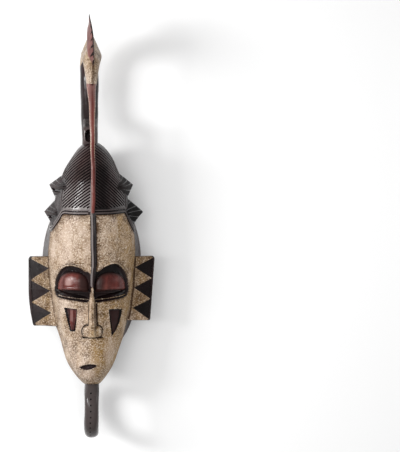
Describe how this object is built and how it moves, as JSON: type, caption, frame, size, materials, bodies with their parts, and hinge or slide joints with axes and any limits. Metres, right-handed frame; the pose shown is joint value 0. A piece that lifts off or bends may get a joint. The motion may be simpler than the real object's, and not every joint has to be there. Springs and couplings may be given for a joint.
{
  "type": "carved wooden mask",
  "caption": "Long painted wooden face mask with a hollow back, slit eyes, side panels, combed hair, a long-beaked bird arching over the hair and a ring under the chin.",
  "frame": {"origin": "centre of the outline, on the plane that the back rim lies on", "axes": "+Z out of the wood towards the viewer, +Y from the chin ring to the bird's crest, +X to the viewer's right"},
  "size_m": [0.191, 0.6316, 0.1501],
  "materials": {
    "wood": "painted and worn, satin where it is dark, matt where it is cream"
  },
  "bodies": {
    "root": {"mask": "wood"}
  },
  "joints": []
}
